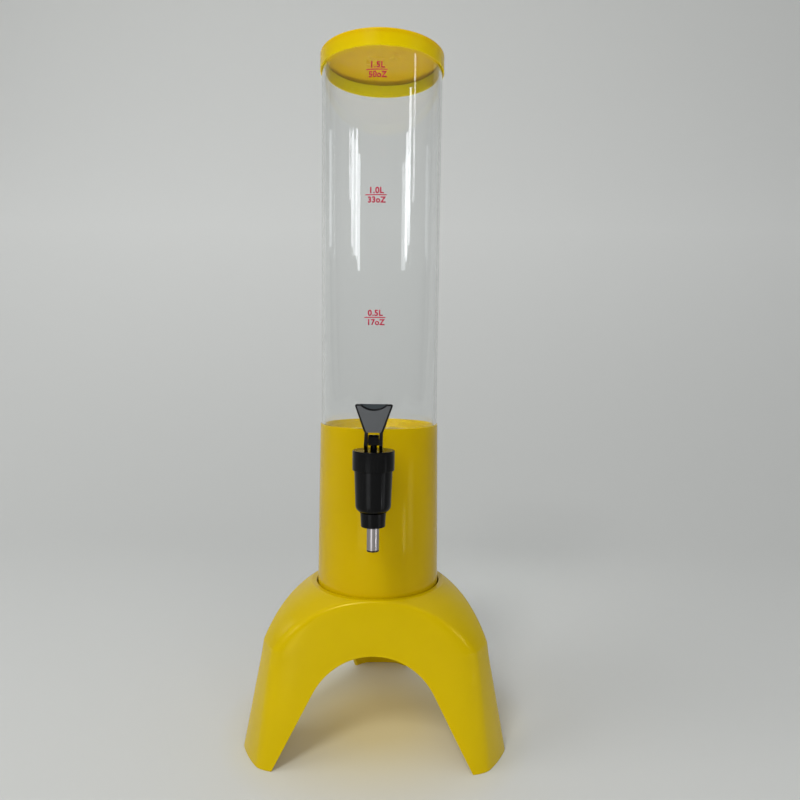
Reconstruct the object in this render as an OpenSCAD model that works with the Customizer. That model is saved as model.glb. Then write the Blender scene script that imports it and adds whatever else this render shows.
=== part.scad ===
// Beer tower dispenser: a clear measuring tube on a barrel with a lever tap, set in a three-legged stand.
// Millimetres, +Z up. The origin is the point on the floor under the tube's axis, and the tap faces -Y.

/* [Stand] */
// Height of the stand, from the floor to the rim of its collar
stand_h = 117.4; // [108:0.1:125]
// Radius of the legs' outer skin at the floor
foot_r = 105.7; // [104:0.1:108]
// Radius at which the legs' outer cone meets the dome
shoulder_r = 91.4; // [90:0.1:93]
// Height of that shoulder above the floor
shoulder_z = 81; // [77:0.5:84]
// Radius of the dome's own curve, in a section through the axis
dome_r = 84; // [78:0.5:95]
// Radius at which the dome meets the flat collar
neck_r = 52.4; // [52:0.1:54]
// Distance from the axis to each flat side, at the floor
side_floor = 71.7; // [71:0.1:73]
// Lean of each flat side towards the axis, in degrees
side_lean = 9.1; // [8.4:0.1:9.4]
// Width over which a leg's round skin turns into a flat side
leg_blend = 13; // [6:0.5:16]
// The same along the crest, where the dome turns into a flat side
crest_blend = 3.2; // [1.5:0.1:5]
// Thickness of the stand's wall
stand_wall = 3; // [2.2:0.1:3.5]
// Height of the arch in each side
arch_h = 79; // [70:0.5:86]
// Radius of the arch's top
arch_r = 49; // [44:0.5:52]
// Half the width of the arch at the floor
arch_foot = 71.2; // [68:0.1:72]
// Thickness of the stiffening rib down each leg
leg_rib_t = 2; // [1.5:0.1:4]

/* [Collar and fixing] */
// Depth of the collar's socket, which the barrel stands in
socket_depth = 15.4; // [12:0.1:20]
// Gap round the barrel in the socket
socket_gap = 0.7; // [0.4:0.05:0.9]
// Clearance round a fixing screw in the stand
screw_gap = 0.2; // [0.1:0.05:0.4]
// Wall round the socket
socket_wall = 2.2; // [1.8:0.1:2.6]
// Floor under the socket
socket_floor = 3; // [2:0.1:5]
// Radius of the opening through that floor
floor_hole_r = 33; // [28:0.5:33]
// Radius of a fixing screw's shank
screw_r = 1.6; // [1.2:0.05:2]
// Length of a fixing screw under its head
screw_len = 14; // [10:0.5:18]
// Radius of the screw bosses inside the barrel
boss_r = 5.2; // [4.6:0.1:5.6]
// How far the screw bosses sink into the barrel's wall
boss_sink = 0.8; // [0.6:0.1:1.2]
// Gap between the screw bosses and the socket's floor
boss_gap = 0.4; // [0.2:0.1:1]
// Height of the screw bosses
boss_h = 20; // [18:0.5:26]

/* [Barrel] */
// Length of the barrel, from the socket's floor to its rim
barrel_h = 139.3; // [130:0.1:150]
// Wall of the barrel round the foot of the tube
rim_wall = 0.98; // [0.9:0.01:1.3]
// Outer radius of the barrel at its foot
barrel_foot_r = 47.6; // [47.2:0.01:48]
// Thickness of the barrel's wall below the tank's floor
skirt_wall = 2.6; // [2.2:0.1:3.4]
// Thickness of the tank's floor
tank_floor_t = 3; // [2:0.1:4]
// Radius of the tank's rounded lower corner
tank_corner_r = 4; // [2:0.1:6]
// Depth of the tank's floor below the middle of the tap's hole
sump = 15.2; // [14.5:0.1:20]
// Depth of the rebate that holds the tube
rebate_depth = 9; // [6:0.1:12]
// Radius of the rounded edge of the barrel's rim
rim_round = 0.35; // [0.2:0.05:0.4]
// Width of the flat pad that shows round the tap's flange
pad_rim = 1.2; // [0.8:0.1:2]
// How far that pad stands proud of the round barrel
pad_proud = 1.4; // [1.2:0.1:2]
// How far the pad for the nut stands proud of the round bore
inner_pad_proud = 0.6; // [0.4:0.1:1]

/* [Tube] */
// Length of the clear tube
tube_h = 285.2; // [270:0.1:300]
// Outer radius of the tube at its foot
tube_foot_r = 44.92; // [44.8:0.01:44.95]
// Outer radius of the tube at its top
tube_top_r = 46; // [45.6:0.01:46.2]
// Thickness of the tube's wall
tube_wall = 2.2; // [1.8:0.1:2.4]
// Gap round the tube in the barrel's rebate
tube_fit = 0.05; // [0.02:0.01:0.08]
// Thickness of the seal under the tube
seal_t = 1.5; // [1:0.1:2.5]
// How much narrower the seal is than the ledge, on each side
seal_gap = 0.1; // [0.05:0.05:0.3]

/* [Lid] */
// Thickness of the lid's flat top
lid_top_t = 3; // [1.8:0.1:4]
// Height of the lid's skirt, under its top
lid_skirt_h = 9.5; // [6:0.1:14]
// Thickness of the lid's skirt
lid_wall = 1; // [0.8:0.05:1.6]
// Gap round the tube in the lid
lid_gap = 0.3; // [0.2:0.05:0.5]
// Radius of the lid's rounded upper edge
lid_round = 1.2; // [0.6:0.1:1.3]

/* [Tap body] */
// Height of the tap's shank above the barrel's foot
tap_rise = 103.3; // [98:0.1:106]
// Length of plain shank between its flange and the body
shank_neck = 22; // [14:0.5:26]
// Outer radius of the body under the bonnet
body_top_r = 12.7; // [12.6:0.1:13.4]
// Outer radius of the body above its rounded shoulder
body_low_r = 11.7; // [11.3:0.1:12]
// Radius of that shoulder
body_round = 4.6; // [3.2:0.1:6]
// Height of the body's top shoulder above the shank's middle
body_up = 13; // [12.6:0.1:14]
// Depth of the body's lower shoulder below the shank's middle
body_down = 15.2; // [14.5:0.1:17]
// Radius of the nozzle where it leaves the body
nozzle_top_r = 8.6; // [8.2:0.1:9.2]
// Radius of the nozzle at its end
nozzle_end_r = 8.1; // [7.4:0.1:8.2]
// Length of the nozzle
nozzle_h = 9.5; // [8:0.1:12]
// Thickness of the seat between the chamber and the nozzle
seat_t = 3.4; // [2.4:0.1:4]
// Depth and width of the cone that leads from the seat to the outlet
seat_cone = 1.6; // [1:0.1:2]
// Radius of the chamber in the body
chamber_r = 9.6; // [9.2:0.1:10]
// Radius of the outlet under the plug
outlet_r = 3.6; // [3:0.1:3.9]
// Radius of the shank, over its thread
shank_r = 7.9; // [7:0.1:8.2]
// Radius of the liquid's way through the shank
inlet_r = 5; // [4:0.1:5.6]
// Clearance round the shank in the barrel
shank_gap = 0.2; // [0.1:0.05:0.4]
// Radius of the shank's flange and washers
flange_r = 10.8; // [10:0.1:11.5]
// Thickness of the shank's flange
flange_t = 3; // [2:0.1:4]
// Thickness of each rubber washer
washer_t = 2; // [1.5:0.1:3]
// Thickness of the nut on the shank
nut_t = 7; // [5:0.1:9]
// Width of the nut across its flats
nut_flats = 22; // [20:0.1:23]
// Thread that shows past the nut
thread_end = 3; // [1:0.1:5]

/* [Bonnet] */
// Outer radius of the bonnet
bonnet_r = 14; // [13.6:0.1:15]
// Height of the bonnet
bonnet_h = 13.2; // [12.8:0.1:16]
// Thickness of the bonnet's top
bonnet_top_t = 3; // [2:0.1:3.5]
// Radius of the thread between bonnet and body
bonnet_thread_r = 11.8; // [11.6:0.1:12.2]
// Chamfer on the bonnet's edges
bonnet_chamfer = 0.6; // [0.3:0.1:1]

/* [Spout] */
// Outer radius of the steel spout
spout_r = 4.1; // [4:0.05:4.4]
// Wall of the steel spout
spout_wall = 0.5; // [0.4:0.05:0.8]
// Length of the spout below the nozzle
spout_out = 16.7; // [10:0.1:24]
// Length of the spout held in the nozzle
spout_in = 6; // [4:0.1:7]
// How much the end of the spout that is pressed into the nozzle is wider in radius
spout_step = 0.4; // [0.3:0.05:0.8]

/* [Stem and seat cup] */
// Radius of the stem in the bonnet
stem_r = 2.2; // [1.8:0.05:2.6]
// Running gap round the stem
stem_gap = 0.08; // [0.03:0.01:0.1]
// Bare stem that shows between the bonnet and the head
stem_show = 3.3; // [2.6:0.1:3.6]
// Radius of the round head about the pin
stem_head_r = 4.2; // [3.6:0.1:4.6]
// Width of the stem's flat head
stem_head_w = 7; // [6:0.1:7.4]
// Depth of the stem's flat head, from front to back
stem_head_d = 6; // [5:0.1:7]
// Radius of the button at the stem's lower end
button_r = 3.2; // [2.8:0.1:3.6]
// Thickness of that button
button_t = 1.6; // [1.2:0.1:2]
// How far the stem lifts when the tap is fully open
stem_lift = 4; // [3:0.1:5]
// Thickness of the silicone cup's clamped flange
cup_flange_t = 2; // [1.2:0.1:3]
// Wall of the silicone bell
cup_wall = 1.2; // [0.9:0.1:1.6]
// Radius of the cup's plug
plug_r = 5.6; // [5.2:0.1:6.4]
// Height of the cup's plug
plug_h = 12.4; // [10:0.1:14]
// Height of the cone between plug and bell
cone_h = 7.2; // [5:0.1:9]
// Height of the button above the plug's foot
button_up = 3; // [2.5:0.1:4]
// Gap between the cup and the walls of the chamber
cup_gap = 0.3; // [0.2:0.05:0.5]

/* [Handle] */
// Height of the pin above the bonnet
pin_rise = 5.9; // [5.4:0.1:6.6]
// Radius of the pin
pin_r = 1.25; // [1:0.05:1.5]
// Running gap round the pin in the handle
pin_gap = 0.05; // [0.02:0.01:0.1]
// Turn of the handle from shut to fully open, in degrees
handle_turn = 60; // [45:1:75]
// Width of the fork over both arms
fork_w = 12; // [11.6:0.1:13]
// Gap between the stem's head and each arm
fork_gap = 0.35; // [0.25:0.05:0.5]
// Slot left above the stem's head
slot_gap = 1.7; // [1:0.1:2.5]
// Height of the fan-shaped paddle
paddle_h = 18.6; // [14:0.1:24]
// Width of the paddle at its foot
paddle_foot_w = 13.4; // [13:0.1:16]
// Width of the paddle at its top
paddle_top_w = 24.8; // [20:0.1:28]
// Thickness of the paddle at its foot
paddle_foot_t = 6; // [5:0.1:8]
// Thickness of the paddle at its top
paddle_top_t = 4.4; // [4:0.1:5]
// Width of the thumb scoop across the paddle's top
scoop_w = 20; // [14:0.1:21]
// Depth of the scoop down the paddle's face
scoop_drop = 4.4; // [2.5:0.1:5]
// Depth of the scoop into the paddle
scoop_in = 2.6; // [1:0.1:3]
// Radius of the paddle's upper corners
paddle_corner = 1.2; // [0.6:0.1:2]
// Width of the bevel round the paddle's front face
bevel_w = 1.3; // [0.8:0.1:1.6]
// Depth of that bevel
bevel_t = 0.9; // [0.5:0.1:1.2]
// Height of the cam's toe above the pin
toe_up = 2.5; // [2:0.1:3.5]
// Clearance between the cam and the bonnet
cam_gap = 0.15; // [0.1:0.05:0.3]

/* [Hidden] */
$fn = 96;
margin = 1;                     // how far a cut runs past a face
edge_steps = 8;                 // steps in the round of an edge
yellow = [0.86, 0.72, 0.04];
clear = [0.85, 0.9, 0.92, 0.35];
black = [0.09, 0.09, 0.1];
grey = [0.25, 0.26, 0.28];
steel = [0.75, 0.76, 0.78];
rubber = [0.16, 0.16, 0.17];
silicone = [0.8, 0.8, 0.78];

leg_angles = [90, 210, 330];
side_angles = [30, 150, 270];
screw_angles = [30, 150, 270];

// Stand: a cone of legs under a dome, with three flat sides, all drawn in by an inset.
cone_lean = atan((foot_r - shoulder_r) / shoulder_z);
// The dome's centre, in a section through the axis, lies a dome_r inside both the shoulder and the neck.
dome_chord = [neck_r - shoulder_r, stand_h - shoulder_z];
dome_drop = sqrt(dome_r ^ 2 - (norm(dome_chord) / 2) ^ 2) / norm(dome_chord);
dome_c = [
    (neck_r + shoulder_r) / 2 - dome_drop * dome_chord[1],
    (stand_h + shoulder_z) / 2 + dome_drop * dome_chord[0]
];
function cone_r(z, inset) = foot_r - z * tan(cone_lean) - inset / cos(cone_lean);
function dome_skin_r(z, inset) = dome_c[0] + sqrt((dome_r - inset) ^ 2 - (z - dome_c[1]) ^ 2);
function round_r(z, inset) = z < dome_c[1] ? cone_r(z, inset)
    : min(cone_r(z, inset), dome_skin_r(z, inset));
function side_distance(z, inset) = side_floor - z * tan(side_lean) - inset / cos(side_lean);
// The lesser of two radii, rounded off over the width k where they cross.
function soft_min(a, b, k) = min(a, b) - max(k - abs(a - b), 0) ^ 2 / (4 * k);
// The blend starts to narrow this far below the shoulder.
narrow_low = 10;
function blend_at(z) = leg_blend + (crest_blend - leg_blend)
    * min(max((z - shoulder_z + narrow_low) / (stand_h - shoulder_z), 0), 1);
// The skin's radius at a height, and at an angle from the middle of the nearest flat side.
function skin_r(turn, z, inset) =
    soft_min(round_r(z, inset), side_distance(z, inset) / cos(turn), blend_at(z));
// Where the blend from side to round starts (share = -1), crosses over (0) and ends (1), as an angle.
function blend_turn(z, inset, share) =
    let (r = round_r(z, inset) + share * blend_at(z), side = side_distance(z, inset))
    side < r ? acos(side / r) : 0;
flat_steps = 4;
blend_shares = [-1, -0.6, -0.3, 0, 0.3, 0.6, 1];
round_steps = 3;
half_steps = flat_steps + len(blend_shares) + round_steps - 1;
least_turn = 1.5;
// The angles of one ring's points, from the middle of a flat side to the middle of a leg.
function half_ring(z, inset) =
    let (
        from = blend_turn(z, inset, -1),
        to = blend_turn(z, inset, 1),
        turns = concat(
            [for (i = [0:flat_steps - 1]) from * i / flat_steps],
            [for (share = blend_shares) blend_turn(z, inset, share)],
            [for (i = [1:round_steps]) to + (60 - to) * i / round_steps]
        )
    )
    [for (i = [0:half_steps]) max(turns[i], least_turn * i)];
leg_rings = 3;
dome_rings = 16;
arch_top_z = arch_h - arch_r;   // centre of the arch's round top
// The arch's straight sides run from the floor to the tangent of its round top.
arch_far = norm([arch_foot, arch_top_z]);
arch_tangent = acos(arch_r / arch_far) - atan2(arch_top_z, arch_foot);
arch_steps = 28;
// A rib starts outside the hole in the socket's floor and ends on the leg's wall, below the shoulder.
rib_r0 = floor_hole_r + 6;
rib_r1 = shoulder_r - 24;
rib_z1 = shoulder_z - 18;

// Barrel
socket_r = barrel_foot_r + socket_gap;
screw_circle_r = barrel_foot_r - skirt_wall - boss_r + boss_sink;
barrel_z0 = stand_h - socket_depth;
barrel_z1 = barrel_z0 + barrel_h;
rebate_r = tube_foot_r + tube_fit;
barrel_top_r = rebate_r + rim_wall;
function barrel_r(z) = barrel_foot_r
    + (barrel_top_r - barrel_foot_r) * (z - barrel_z0) / barrel_h;
tap_z = barrel_z0 + tap_rise;
tank_floor_z = tap_z - sump;
skirt_top_z = tank_floor_z - tank_floor_t;
ledge_z = barrel_z1 - rebate_depth;
bore_r = tube_foot_r - tube_wall;
// The pads for the flange and the nut, as distances along the shank from the tube's axis.
pad_r = flange_r + pad_rim;
pad_y = barrel_r(tap_z) + pad_proud;
inner_pad_y = sqrt(bore_r ^ 2 - pad_r ^ 2) - inner_pad_proud;

// Tube and lid
tube_z0 = ledge_z + seal_t;
tube_z1 = tube_z0 + tube_h;
lid_in_r = tube_top_r + lid_gap;
lid_r = lid_in_r + lid_wall;
lid_z0 = tube_z1 - lid_skirt_h;
lid_z1 = tube_z1 + lid_top_t;

// Tap, on its own upright axis
body_z1 = tap_z + body_up;
nozzle_z1 = tap_z - body_down;
nozzle_z0 = nozzle_z1 - nozzle_h;
// The angle at which the nozzle cuts the round of the body's shoulder.
shoulder_turn = -acos((nozzle_top_r + body_round - body_low_r) / body_round);
bonnet_z1 = body_z1 + bonnet_h;
cup_top_z = bonnet_z1 - bonnet_top_t;
body_rim_z = cup_top_z - cup_flange_t;
chamber_z0 = nozzle_z1 + seat_t;
spout_top_z = nozzle_z0 + spout_in;
flange_y = pad_y + washer_t;
tap_reach = flange_y + flange_t + shank_neck + body_low_r;
nut_y1 = inner_pad_y - washer_t;
nut_y0 = nut_y1 - nut_t;
shank_y0 = nut_y0 - thread_end;

// Seat cup
plug_z0 = chamber_z0;
plug_z1 = plug_z0 + plug_h;
plug_foot_r = outlet_r + seat_cone / 2;
button_z = plug_z0 + button_up;
bell_r = chamber_r - cup_gap;
bell_in_r = bell_r - cup_wall;
bell_z = plug_z1 + cone_h;
cup_flange_r = bonnet_thread_r - cup_gap;

// Handle
pin_z = bonnet_z1 + pin_rise;
stem_top_z = pin_z + stem_head_r;
head_z0 = bonnet_z1 + stem_show;
crotch_z = stem_top_z + slot_gap;
arm_in = stem_head_w / 2 + fork_gap;
cam_low = pin_rise - cam_gap;
cam_slope = stem_lift / (handle_turn * PI / 180);  // lift for each radian of the handle
cam_steps = 20;
// An involute: its lowest point goes down by cam_slope for each radian that the handle turns.
function cam_point(a) = [
    -(cam_low + cam_slope * a * PI / 180) * sin(a) - cam_slope * cos(a),
    -(cam_low + cam_slope * a * PI / 180) * cos(a) + cam_slope * sin(a)
];
cam_toe = cam_point(handle_turn);
scoop_r = (scoop_w ^ 2 / 4 + scoop_drop ^ 2) / (2 * scoop_drop);

// The points of an arc about c, from angle a to angle b.
function arc(c, r, a, b, n) = [for (i = [0:n]) let (turn = a + (b - a) * i / n)
    c + r * [cos(turn), sin(turn)]];

// Puts the tap's own upright axis, at x = y = 0, in its place in front of the barrel.
module at_tap() translate([0, -tap_reach, 0]) children();

// A solid of revolution along the tap's shank, whose length runs along -Y from the tube's axis.
module along_shank() translate([0, 0, tap_z]) rotate([90, 0, 0]) children();

// A ring from height z0 to z1.
module ring(r_out, r_in, z0, z1) translate([0, 0, z0]) difference() {
    cylinder(r = r_out, h = z1 - z0);
    translate([0, 0, -margin]) cylinder(r = r_in, h = z1 - z0 + 2 * margin);
}

// ---- Stand ----

// The stand's form as one closed skin, built of rings from the floor up.
module stand_form(inset, low = 0) {
    top = stand_h - inset;
    heights = concat(
        [for (i = [0:leg_rings - 1]) low + (shoulder_z - low) * i / leg_rings],
        [for (i = [0:dome_rings]) shoulder_z + (top - shoulder_z) * sin(90 * i / dome_rings)]
    );
    points = [for (z = heights) let (half = half_ring(z, inset))
        for (side = side_angles, i = [0:2 * half_steps - 1])
            let (turn = half[min(i, 2 * half_steps - i)], r = skin_r(turn, z, inset),
                a = side + (i > half_steps ? 120 - turn : turn))
            [r * cos(a), r * sin(a), z]];
    n = len(side_angles) * 2 * half_steps;
    last = (len(heights) - 1) * n;
    polyhedron(points, concat(
        [[for (i = [0:n - 1]) i], [for (i = [n - 1:-1:0]) last + i]],
        [for (k = [0:n:last - 1], i = [0:n - 1], half = [0, 1])
            let (a = k + i, b = k + (i + 1) % n)
            half == 0 ? [a, a + n, b] : [b, a + n, b + n]]
    ));
}

// The arch's opening, cut outwards from the middle of the stand.
module arch_cut() rotate([0, 0, 90]) rotate([90, 0, 0]) translate([0, 0, floor_hole_r])
    linear_extrude(height = foot_r) {
        polygon(concat(
            arc([0, arch_top_z], arch_r, arch_tangent, 180 - arch_tangent, arch_steps),
            [[-arch_foot, 0], [-arch_foot, -margin], [arch_foot, -margin], [arch_foot, 0]]
        ));
    }

// Everything inside the stand's wall that stays solid: the socket and one rib down each leg.
module stand_inside() {
    translate([0, 0, barrel_z0 - socket_floor])
        cylinder(r = socket_r + socket_wall, h = stand_h);
    for (a = leg_angles) rotate([90, 0, a]) linear_extrude(height = leg_rib_t, center = true)
        polygon([
            [rib_r0, stand_h], [rib_r0, barrel_z0 - socket_floor],
            [rib_r1, rib_z1], [foot_r, rib_z1], [foot_r, stand_h]
        ]);
}

module base_stand() color(yellow) difference() {
    stand_form(0);
    difference() {
        stand_form(stand_wall, -margin);
        stand_inside();
    }
    translate([0, 0, barrel_z0]) cylinder(r = socket_r, h = stand_h);
    cylinder(r = floor_hole_r, h = stand_h);
    for (a = screw_angles) rotate([0, 0, a]) translate([screw_circle_r, 0, 0])
        cylinder(r = screw_r + screw_gap, h = stand_h);
    for (a = side_angles) rotate([0, 0, a]) arch_cut();
}

// One pan-headed screw, driven upwards, with its head's bearing face at the origin.
module fixing_screw() {
    head_r = 2 * screw_r;
    head_h = 1.3 * screw_r;
    cylinder(r = screw_r, h = screw_len);
    rotate_extrude() difference() {
        intersection() {
            translate([0, head_r - head_h]) circle(r = head_r);
            translate([0, -head_h]) square([head_r, head_h]);
        }
        translate([0, -head_h - margin]) square([screw_r / 2, margin + head_h / 2]);
    }
}

module base_screws() color(steel) for (a = screw_angles) rotate([0, 0, a])
    translate([screw_circle_r, 0, barrel_z0 - socket_floor]) fixing_screw();

// ---- Barrel ----

module barrel_shell() rotate_extrude() polygon(concat(
    [[barrel_foot_r - skirt_wall, barrel_z0], [barrel_foot_r, barrel_z0]],
    arc([barrel_top_r - rim_round, barrel_z1 - rim_round], rim_round, 0, 90, edge_steps),
    [
        [rebate_r, barrel_z1], [rebate_r, ledge_z], [bore_r, ledge_z]
    ],
    arc([bore_r - tank_corner_r, tank_floor_z + tank_corner_r], tank_corner_r, 0, -90, edge_steps),
    [
        [0, tank_floor_z], [0, skirt_top_z],
        [barrel_r(skirt_top_z) - skirt_wall, skirt_top_z]
    ]
));

module tank_barrel() color(yellow) difference() {
    union() {
        barrel_shell();
        along_shank() translate([0, 0, inner_pad_y]) cylinder(r = pad_r, h = pad_y - inner_pad_y);
        for (a = screw_angles) rotate([0, 0, a])
            translate([screw_circle_r, 0, barrel_z0 + boss_gap])
                cylinder(r = boss_r, h = boss_h - boss_gap);
    }
    along_shank() cylinder(r = shank_r + shank_gap, h = pad_y + margin);
    for (a = screw_angles) rotate([0, 0, a]) translate([screw_circle_r, 0, barrel_z0 - margin])
        cylinder(r = screw_r, h = screw_len - socket_floor + 2 * margin);
}

// ---- Tube ----

module tube_seal() color(silicone)
    ring(rebate_r - seal_gap, bore_r + seal_gap, ledge_z, tube_z0);

module measuring_tube() color(clear) rotate_extrude() polygon([
    [tube_foot_r - tube_wall, tube_z0], [tube_foot_r, tube_z0],
    [tube_top_r, tube_z1], [tube_top_r - tube_wall, tube_z1]
]);

module lid() color(yellow) rotate_extrude() polygon(concat(
    [[0, tube_z1], [lid_in_r, tube_z1], [lid_in_r, lid_z0], [lid_r, lid_z0]],
    arc([lid_r - lid_round, lid_z1 - lid_round], lid_round, 0, 90, edge_steps),
    [[0, lid_z1]]
));

// ---- Tap ----

module tap_body() color(black) difference() {
    union() {
        at_tap() rotate_extrude() polygon(concat(
            [[0, nozzle_z0], [nozzle_end_r, nozzle_z0], [nozzle_top_r, nozzle_z1]],
            arc([body_low_r - body_round, nozzle_z1 + body_round], body_round,
                shoulder_turn, 0, edge_steps),
            [[body_top_r, body_z1], [bonnet_thread_r, body_z1], [bonnet_thread_r, body_rim_z],
             [0, body_rim_z]]
        ));
        along_shank() translate([0, 0, shank_y0]) cylinder(r = shank_r, h = tap_reach - shank_y0);
        along_shank() translate([0, 0, flange_y]) cylinder(r = flange_r, h = flange_t);
    }
    at_tap() translate([0, 0, chamber_z0]) cylinder(r = chamber_r, h = stand_h);
    at_tap() translate([0, 0, chamber_z0 - seat_cone])
        cylinder(r1 = outlet_r, r2 = outlet_r + seat_cone, h = seat_cone);
    at_tap() translate([0, 0, nozzle_z0]) cylinder(r = outlet_r, h = body_down + nozzle_h);
    at_tap() translate([0, 0, nozzle_z0 - margin])
        cylinder(r = spout_r + spout_step, h = spout_in + margin);
    along_shank() translate([0, 0, shank_y0 - margin])
        cylinder(r = inlet_r, h = tap_reach - shank_y0 + margin);
}

module outer_washer() color(rubber) along_shank()
    ring(flange_r, shank_r + shank_gap / 2, pad_y, flange_y);

module inner_washer() color(rubber) along_shank()
    ring(flange_r, shank_r + shank_gap / 2, nut_y1, inner_pad_y);

module shank_nut() color(black) along_shank() translate([0, 0, nut_y0]) difference() {
    cylinder(r = nut_flats / sqrt(3), h = nut_t, $fn = 6);
    translate([0, 0, -margin]) cylinder(r = shank_r, h = nut_t + 2 * margin);
}

module tap_bonnet() color(black) at_tap() rotate_extrude() polygon([
    [bonnet_thread_r, body_z1], [bonnet_r - bonnet_chamfer, body_z1],
    [bonnet_r, body_z1 + bonnet_chamfer], [bonnet_r, bonnet_z1 - bonnet_chamfer],
    [bonnet_r - bonnet_chamfer, bonnet_z1], [stem_r + stem_gap, bonnet_z1],
    [stem_r + stem_gap, cup_top_z], [bonnet_thread_r, cup_top_z]
]);

module spout_tube() color(steel) at_tap() rotate_extrude() polygon([
    [spout_r - spout_wall, nozzle_z0 - spout_out], [spout_r, nozzle_z0 - spout_out],
    [spout_r, nozzle_z0], [spout_r + spout_step, nozzle_z0],
    [spout_r + spout_step, spout_top_z], [spout_r - spout_wall, spout_top_z]
]);

module seat_cup() color(silicone) at_tap() difference() {
    rotate_extrude() polygon([
        [0, plug_z0 - seat_cone / 2], [plug_foot_r, plug_z0], [plug_r, plug_z0 + button_up],
        [plug_r, plug_z1], [bell_r, bell_z], [bell_r, body_rim_z], [cup_flange_r, body_rim_z],
        [cup_flange_r, cup_top_z], [bell_in_r, cup_top_z], [bell_in_r, bell_z + cup_wall / 2],
        [stem_r + cup_gap, plug_z1 + cup_wall], [0, plug_z1 + cup_wall]
    ]);
    translate([0, 0, button_z + button_t]) cylinder(r = stem_r, h = stand_h);
    translate([0, 0, button_z]) cylinder(r = button_r, h = button_t);
}

module tap_stem() color(black) at_tap() difference() {
    union() {
        translate([0, 0, button_z]) cylinder(r = button_r, h = button_t);
        translate([0, 0, button_z]) cylinder(r = stem_r, h = pin_z - button_z);
        intersection() {
            translate([-stem_head_w / 2, -stem_head_d / 2, head_z0])
                cube([stem_head_w, stem_head_d, stem_top_z - head_z0]);
            translate([-stem_head_w, 0, pin_z]) rotate([0, 90, 0])
                cylinder(r = stem_head_r, h = 2 * stem_head_w);
        }
    }
    translate([-stem_head_w, 0, pin_z]) rotate([0, 90, 0]) cylinder(r = pin_r, h = 2 * stem_head_w);
}

module handle_pin() color(steel) at_tap() translate([-fork_w / 2, 0, pin_z])
    rotate([0, 90, 0]) cylinder(r = pin_r, h = fork_w);

// ---- Handle ----

// The side view of an arm: its cam under the pin, and the shank that runs out into the paddle.
module arm_section() polygon(concat(
    [[paddle_foot_t / 2, crotch_z - pin_z + bevel_w], [paddle_foot_t / 2, -cam_low]],
    [for (i = [0:cam_steps]) cam_point(handle_turn * i / cam_steps)],
    [
        [cam_toe[0] / 2, toe_up], [-paddle_foot_t / 2, crotch_z - pin_z],
        [-paddle_foot_t / 2 + bevel_t, crotch_z - pin_z + bevel_w]
    ]
));

// The front view of the paddle, a fan with rounded upper corners. It runs on below its foot, at z = 0,
// so that its sides are bevelled down to the arms.
module paddle_front() {
    corner = [paddle_top_w / 2 - paddle_corner, paddle_h - paddle_corner];
    lip = (paddle_foot_w - fork_w) / 2 / paddle_corner;
    low = -2 * bevel_w;
    polygon(concat(
        [
            [-fork_w / 2 - lip * low, low], [fork_w / 2 + lip * low, low],
            [paddle_foot_w / 2, paddle_corner]
        ],
        arc(corner, paddle_corner, 0, 90, edge_steps),
        arc([-corner[0], corner[1]], paddle_corner, 90, 180, edge_steps),
        [[-paddle_foot_w / 2, paddle_corner]]
    ));
}

// The side view of the paddle: upright in front, and leaning behind, so that it thins upwards.
module paddle_side() polygon([
    [-paddle_foot_t / 2, 0], [paddle_foot_t / 2, 0],
    [paddle_top_t - paddle_foot_t / 2, paddle_h], [-paddle_foot_t / 2, paddle_h]
]);

// A slab with the outline of its children, from behind the paddle to a depth under its front face.
module paddle_slab(depth) rotate([90, 0, 0]) translate([0, 0, -paddle_foot_t])
    linear_extrude(height = 1.5 * paddle_foot_t - depth) children();

module paddle() difference() {
    intersection() {
        hull() {
            paddle_slab(bevel_t) paddle_front();
            paddle_slab(0) offset(delta = -bevel_w) paddle_front();
        }
        rotate([90, 0, 90]) linear_extrude(height = 2 * paddle_top_w, center = true) paddle_side();
    }
    translate([0, -paddle_foot_t / 2 + scoop_in, paddle_h - scoop_drop + scoop_r])
        rotate([90, 0, 0]) cylinder(r = scoop_r, h = paddle_foot_t);
}

module tap_handle() color(grey) at_tap() difference() {
    union() {
        translate([0, 0, crotch_z]) paddle();
        translate([0, 0, pin_z]) rotate([90, 0, 90])
            linear_extrude(height = fork_w, center = true) arm_section();
    }
    translate([-arm_in, -bonnet_r, 0]) cube([2 * arm_in, 2 * bonnet_r, crotch_z]);
    translate([-fork_w, 0, pin_z]) rotate([0, 90, 0])
        cylinder(r = pin_r + pin_gap, h = 2 * fork_w);
}

base_stand();
base_screws();
tank_barrel();
tube_seal();
measuring_tube();
lid();
tap_body();
outer_washer();
inner_washer();
shank_nut();
tap_bonnet();
spout_tube();
seat_cup();
tap_stem();
handle_pin();
tap_handle();
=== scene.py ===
"""Looks for the beer tower dispenser: finer pieces, marks, materials, camera, stage and lights.

The pieces are drawn in millimetres, and become metres where their mesh is made. The stage and the
lights are in metres.
"""
import math

import bmesh
import bpy
import numpy as np
from mathutils import Matrix, Vector


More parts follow.
